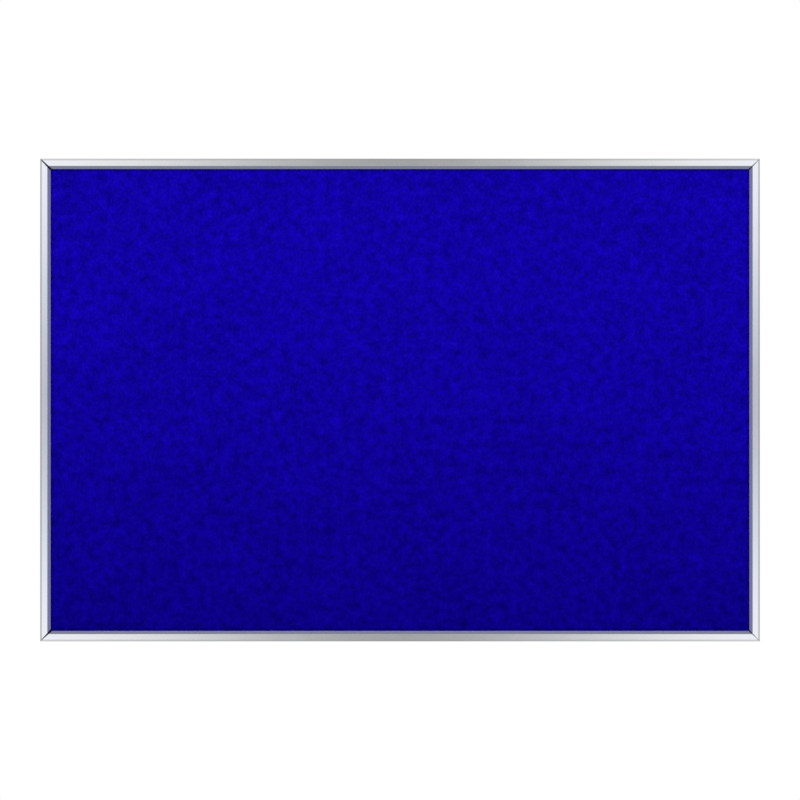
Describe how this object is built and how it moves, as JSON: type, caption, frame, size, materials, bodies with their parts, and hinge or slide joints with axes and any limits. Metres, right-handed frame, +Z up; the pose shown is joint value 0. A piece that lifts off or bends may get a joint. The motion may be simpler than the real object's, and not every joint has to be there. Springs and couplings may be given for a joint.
{
  "type": "notice board",
  "caption": "Wall-hung notice board: a felt-faced pinning panel in a slim mitred aluminium frame, hung from keyhole hangers that slide in the frame's rear track.",
  "frame": {"origin": "middle of the wall plane, which the rear rims of the frame touch", "axes": "+X to the right seen from the front, +Z up, +Y into the wall, so the felt faces -Y"},
  "size_m": [0.911, 0.0248, 0.611],
  "materials": {
    "frame_aluminium": "satin",
    "felt": "matte",
    "softboard": "matte",
    "hardboard": "matte",
    "zinc_plate": "satin",
    "screw_steel": "satin"
  },
  "bodies": {
    "board": {"rail_top": "frame_aluminium", "rail_bottom": "frame_aluminium", "rail_left": "frame_aluminium", "rail_right": "frame_aluminium", "felt_facing": "felt", "softboard_core": "softboard", "hardboard_back": "hardboard", "corner_plate_top_left": "zinc_plate", "corner_plate_top_right": "zinc_plate", "corner_plate_bottom_left": "zinc_plate", "corner_plate_bottom_right": "zinc_plate", "corner_screw_top_left_1": "screw_steel", "corner_screw_top_left_2": "screw_steel", "corner_screw_top_right_1": "screw_steel", "corner_screw_top_right_2": "screw_steel", "corner_screw_bottom_left_1": "screw_steel", "corner_screw_bottom_left_2": "screw_steel", "corner_screw_bottom_right_1": "screw_steel", "corner_screw_bottom_right_2": "screw_steel"},
    "left_hanger": {"hanger_left": "zinc_plate", "hanger_screw_left": "screw_steel"},
    "right_hanger": {"hanger_right": "zinc_plate", "hanger_screw_right": "screw_steel"}
  },
  "joints": [
    {"name": "left_hanger_slide", "type": "slide", "parent": "board", "child": "left_hanger", "axis": [1, 0, 0], "range_m": [-0.093, 0.28]},
    {"name": "right_hanger_slide", "type": "slide", "parent": "board", "child": "right_hanger", "axis": [1, 0, 0], "range_m": [-0.28, 0.093]}
  ]
}
